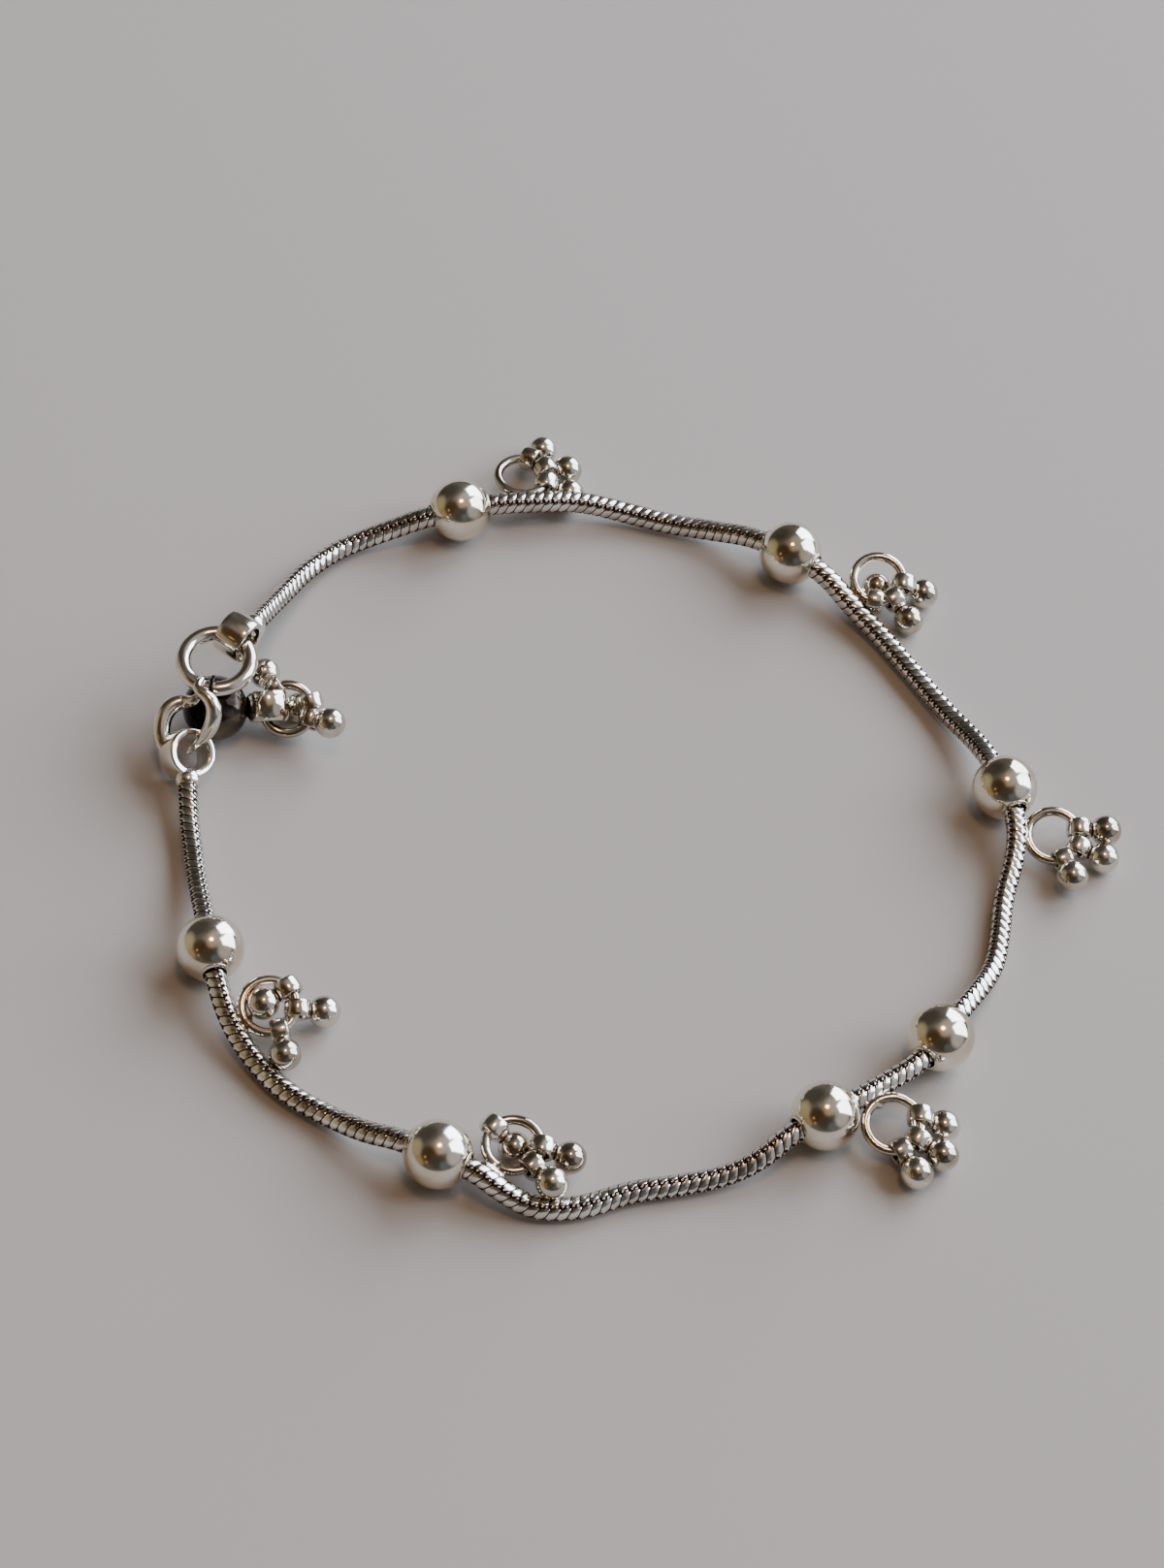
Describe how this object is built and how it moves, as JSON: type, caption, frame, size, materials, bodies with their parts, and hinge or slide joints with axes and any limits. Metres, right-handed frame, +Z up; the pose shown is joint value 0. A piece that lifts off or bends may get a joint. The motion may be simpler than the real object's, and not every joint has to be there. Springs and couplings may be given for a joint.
{
  "type": "ankle chain",
  "caption": "Payal anklet: a square snake chain strung with hollow balls and jump rings of small ghungroo, closed by a hook and ring clasp with a drop.",
  "frame": {"origin": "centre of the anklet's outline, on the surface it lies on", "axes": "+Z up, +X to the viewer's right, +Y away from the viewer; the clasp is on the -X side"},
  "size_m": [0.095, 0.0966, 0.0107],
  "materials": {
    "silver_chain": "satin",
    "silver_polished": "polished"
  },
  "bodies": {
    "root": {"snake_chain": "silver_chain", "ball_1": "silver_polished", "ball_2": "silver_polished", "ball_3": "silver_polished", "ball_4": "silver_polished", "ball_5": "silver_polished", "ball_6": "silver_polished", "ball_7": "silver_polished", "ghungroo_a_1": "silver_polished", "ghungroo_a_2": "silver_polished", "ghungroo_a_3": "silver_polished", "ghungroo_b_1": "silver_polished", "ghungroo_b_2": "silver_polished", "ghungroo_b_3": "silver_polished", "ghungroo_c_1": "silver_polished", "ghungroo_c_2": "silver_polished", "ghungroo_c_3": "silver_polished", "ghungroo_d_1": "silver_polished", "ghungroo_d_2": "silver_polished", "ghungroo_d_3": "silver_polished", "ghungroo_e_1": "silver_polished", "ghungroo_e_2": "silver_polished", "ghungroo_e_3": "silver_polished", "ghungroo_f_1": "silver_polished", "ghungroo_f_2": "silver_polished", "ghungroo_f_3": "silver_polished", "clasp_ring": "silver_polished", "clasp_hook": "silver_polished", "drop_ball": "silver_polished", "bunch_ring": "silver_polished", "ghungroo_bunch_1": "silver_polished", "ghungroo_bunch_2": "silver_polished", "ghungroo_bunch_3": "silver_polished"}
  },
  "joints": []
}
